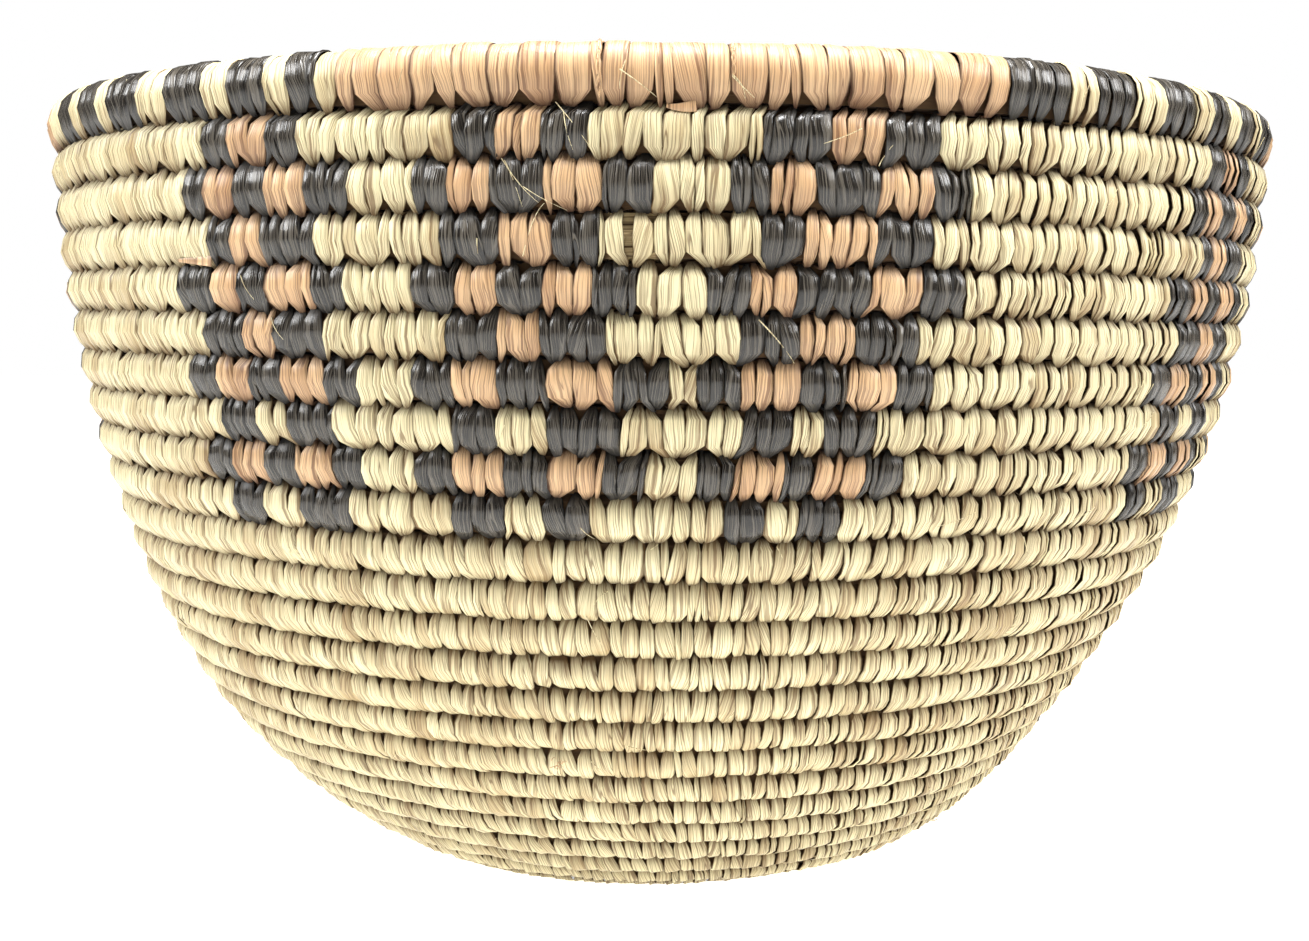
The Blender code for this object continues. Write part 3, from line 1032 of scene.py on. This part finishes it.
# Loose fibres: here and there a thread has split off a strip, the end of a strip wasn't tucked
# in, and two strands twist down over the rim. They are the same leaf, and lie close over the
# strips that hold them. Each is a run of points: degrees right of the front, row and mm up.
FIBRE_RADIUS = 0.00012
FIBRE_LIFT = 0.0006
FIBRE_REACH = 0.0049
FIBRE_LEAST_OUT = 0.0030
TWIST_RADIUS = 0.00036
TWIST_SWING = 0.10
TWISTS = ((-4.2, 5.2, -4.6), (4.7, 4.6, -0.8))
LEAF_END_RADIUS = 0.0001
LEAF_END_HALF_WIDTH = 0.0010
LEAF_END_LIFT = 0.0009
FLUFF_PLACE = (-8.8, 17, 1.6)
FIBRES = (
    ((-7.2, 1, -5.1), (-6.0, 2, 1.3), (-4.8, 2, -2.9)),
    ((-6.6, 2, 2.9), (-6.4, 2, -0.3), (-6.0, 2, -3.3)),
    ((-11.0, 3, 4.3), (-10.2, 3, 1.7), (-9.4, 3, -1.0), (-8.4, 3, -3.1)),
    ((-10.8, 3, 4.0), (-10.0, 3, 0.8), (-9.6, 3, -3.8)),
    ((-9.6, 4, -3.2), (-9.0, 4, 1.2), (-8.8, 4, 4.1), (-8.0, 3, -3.2)),
    ((7.0, 6, 3.6), (8.2, 6, 0.7), (9.2, 6, -2.2), (9.8, 6, -4.4)),
    ((15.2, 3, 3.9), (15.4, 2, -3.8), (15.9, 2, -1.6)),
    ((-0.2, 11, 3.1), (0.4, 11, 4.0)),
    ((-2.8, 1, 0.0), (-1.4, 1, -2.3), (-0.2, 1, -4.6)),
    ((-2.4, 1, 1.5), (-2.8, 1, -1.2), (-2.8, 1, -3.1)),
    ((4.6, 1, -0.6), (5.4, 1, -2.3), (5.6, 1, -4.4)),
    ((4.6, 1, -0.9), (5.6, 1, -3.1), (6.2, 1, -4.2)),
    ((-3.4, 12, 2.9), (-4.2, 12, 2.1), (-4.6, 12, -0.2)),
    ((-5.2, 12, -2.9), (-4.6, 13, 2.5), (-3.6, 13, -0.7)),
    ((10.0, 11, 3.5), (10.8, 11, 1.0), (11.0, 11, -3.9)),
)
LEAF_ENDS = (((0.3, 2, 4.0), (1.2, 2, 3.6), (2.3, 2, 4.1)), ((-40.0, 4, -3.4), (-36.2, 4, -3.7)))
STRAY_FIBRES = 130
FLUFF_FIBRES = 9


def fibre_place(angle, row, up, lift):
    """A place on the strips: degrees right of the front, row counted from the rim, and mm up."""
    turn = RIM_ROW_TURN + 0.5 - row - angle / 360
    reach = FIBRE_REACH * float(along_path(path_thickness, turn)) / STITCH_RING
    out = max(math.sqrt(max(reach**2 - (up / 1000) ** 2, 0.0)), FIBRE_LEAST_OUT) + lift
    return place_round_coil(np.array(turn), np.array(out), np.array(up / 1000))


def draw_fibre(points, radius, half_width=0.0, lift=FIBRE_LIFT, taper=(1.0, 0.4)):
    """A thread, or a flat end of leaf if it has a width, along the points given."""
    deselect_all()
    bpy.ops.curve.primitive_nurbs_path_add()
    thread = bpy.context.object
    places = np.array([fibre_place(*point, lift) for point in points])
    stops = np.linspace(0, len(places) - 1, max(len(places), 5))
    spline = thread.data.splines[0]
    spline.points.add(len(stops) - len(spline.points))
    for knot, stop in zip(spline.points, stops):
        place = [float(np.interp(stop, range(len(places)), places[:, axis])) for axis in range(3)]
        knot.co = (*place, 1.0)
        knot.radius = float(np.interp(stop, (0, len(places) - 1), taper))
    thread.data.resolution_u = 3
    thread.data.bevel_depth = radius
    thread.data.bevel_resolution = 0
    thread.data.extrude = half_width
    thread.data.use_fill_caps = True
    bpy.ops.object.convert(target="MESH")
    return bpy.context.object


def join_fibres(threads, name, material):
    deselect_all()
    for thread in threads:
        thread.select_set(True)
    bpy.context.view_layer.objects.active = threads[0]
    bpy.ops.object.join()
    piece = bpy.context.object
    bpy.ops.object.mode_set(mode="EDIT")
    bpy.ops.mesh.select_all(action="SELECT")
    bpy.ops.mesh.normals_make_consistent(inside=False)
    bpy.ops.object.mode_set(mode="OBJECT")
    data = piece.data
    while data.uv_layers:
        data.uv_layers.remove(data.uv_layers[0])
    count = len(data.vertices)
    corner_vertex = np.zeros(len(data.loops), np.int32)
    data.loops.foreach_get("vertex_index", corner_vertex)
    places = np.zeros(count * 3, np.float32)
    data.vertices.foreach_get("co", places)
    places = places.reshape(-1, 3)[corner_vertex] * 1000
    strip_map = np.stack([places[:, 0] + places[:, 1], places[:, 2]], -1)
    mark_strips(data, np.full(count, 0.1), np.zeros(count), np.zeros(count), strip_map)
    data.shade_smooth()
    data.materials.clear()
    data.materials.append(material)
    settle(piece, name)
    return piece


threads = [draw_fibre(points, FIBRE_RADIUS) for points in FIBRES]
for stray in range(STRAY_FIBRES):
    angle = chance.uniform(-180, 180)
    row = int(chance.integers(1, 23))
    up = chance.uniform(-1.5, 3.5)
    slope = chance.normal(0, 1.6)
    drop = chance.uniform(2.0, 5.0)
    middle, end = (angle + slope * 0.4, row, up - drop * 0.5), (angle + slope, row, up - drop)
    radius = FIBRE_RADIUS * chance.uniform(0.6, 1.0)
    threads.append(draw_fibre(((angle, row, up), middle, end), radius))
join_fibres(threads, "loose_natural_fibres", natural_palm)

threads = [
    draw_fibre(points, LEAF_END_RADIUS, LEAF_END_HALF_WIDTH, LEAF_END_LIFT, (0.3, 1.0))
    for points in LEAF_ENDS
]
for angle, top, bottom in TWISTS:
    for phase in (0.0, math.pi):
        points = [
            (angle + TWIST_SWING * math.sin(phase + 0.8 * step), 1, height)
            for step, height in enumerate(np.linspace(top, bottom, 13))
        ]
        threads.append(draw_fibre(points, TWIST_RADIUS))
fluff_angle, fluff_row, fluff_up = FLUFF_PLACE
for fluff in range(FLUFF_FIBRES):
    angle, up = fluff_angle + chance.normal(0, 0.5), fluff_up + chance.normal(0, 0.8)
    middle = (angle + chance.normal(0, 0.4), fluff_row, up + 0.8)
    points = ((angle, fluff_row, up), middle, (angle + 0.6, fluff_row, up + 0.3))
    threads.append(draw_fibre(points, FIBRE_RADIUS * 0.7, 0.0, FIBRE_LIFT * 2))
join_fibres(threads, "loose_brown_ends", brown_palm)


# Floor, light and camera: a plain white table and wall, soft lights in front, overhead and on
# both sides, and the camera low in front of the bowl. The table is as white as in the photograph,
# and glows near the bowl as a hidden light that throws light up on the bowl's foot.
deselect_all()
bpy.ops.mesh.primitive_plane_add(size=8.0)
floor = bpy.context.object
floor.name = "table_top"
floor_material = bpy.data.materials.new("white_table")
floor_material.use_nodes = True
floor_nodes, floor_links = floor_material.node_tree.nodes, floor_material.node_tree.links
floor_shader = floor_nodes["Principled BSDF"]
floor_shader.inputs["Base Color"].default_value = (0.72, 0.72, 0.71, 1.0)
floor_shader.inputs["Roughness"].default_value = 0.9
floor_shader.inputs["Emission Color"].default_value = (1.0, 0.99, 0.97, 1.0)
floor_place = floor_nodes.new("ShaderNodeTexCoord")
floor_reach = floor_nodes.new("ShaderNodeVectorMath")
floor_reach.operation = "LENGTH"
# The table glows within a short reach of the bowl, a hidden light for the bowl's foot; to the
# camera it glows evenly white all over.
lit_round = floor_nodes.new("ShaderNodeMapRange")
lit_round.interpolation_type = "SMOOTHSTEP"
lit_round.inputs["From Min"].default_value = 0.07
lit_round.inputs["From Max"].default_value = 0.22
lit_round.inputs["To Min"].default_value = 1.0
lit_round.inputs["To Max"].default_value = 0.0
floor_view = floor_nodes.new("ShaderNodeLightPath")
glow = floor_nodes.new("ShaderNodeMath")
glow.operation = "MAXIMUM"
floor_links.new(floor_place.outputs["Object"], floor_reach.inputs[0])
floor_links.new(floor_reach.outputs["Value"], lit_round.inputs["Value"])
floor_links.new(lit_round.outputs["Result"], glow.inputs[0])
floor_links.new(floor_view.outputs["Is Camera Ray"], glow.inputs[1])
floor_links.new(glow.outputs[0], floor_shader.inputs["Emission Strength"])
floor.data.materials.append(floor_material)

world = bpy.data.worlds.new("white_room")
world.use_nodes = True
world_nodes, world_links = world.node_tree.nodes, world.node_tree.links
room_light = world_nodes["Background"]
room_light.inputs["Color"].default_value = (1.0, 1.0, 1.0, 1.0)
room_light.inputs["Strength"].default_value = 0.09
white_wall = world_nodes.new("ShaderNodeBackground")
white_wall.inputs["Color"].default_value = (1.0, 1.0, 1.0, 1.0)
white_wall.inputs["Strength"].default_value = 1.0
world_view = world_nodes.new("ShaderNodeLightPath")
choose = world_nodes.new("ShaderNodeMixShader")
world_links.new(world_view.outputs["Is Camera Ray"], choose.inputs["Fac"])
world_links.new(room_light.outputs[0], choose.inputs[1])
world_links.new(white_wall.outputs[0], choose.inputs[2])
world_links.new(choose.outputs[0], world_nodes["World Output"].inputs["Surface"])
bpy.context.scene.world = world


def add_softbox(name, location, size, energy):
    """A square soft light that faces the middle of the bowl."""
    bpy.ops.object.light_add(type="AREA", location=location)
    light = bpy.context.object
    light.name = name
    light.data.shape = "SQUARE"
    light.data.size = size
    light.data.energy = energy
    to_bowl = (cad_low + cad_high) / 2 - light.location
    light.rotation_euler = to_bowl.to_track_quat("-Z", "Y").to_euler()


add_softbox("front_light", (0.10, -0.50, 1.32), 0.30, 19.0)
add_softbox("overhead_light", (0.0, -0.12, 1.4), 0.6, 24.0)
add_softbox("left_light", (-1.2, -0.20, 0.85), 0.6, 20.0)
add_softbox("right_light", (1.2, -0.20, 0.85), 0.6, 18.0)

bpy.ops.object.camera_add(
    location=(0.0, -0.4497, 0.1295), rotation=(math.radians(85.14), 0, 0)
)
camera = bpy.context.object
camera.name = "photo_camera"
camera.data.lens = 46.56
camera.data.sensor_width = 36.0
camera.data.clip_start = 0.01
bpy.context.scene.camera = camera
bpy.context.scene.view_settings.view_transform = "Standard"
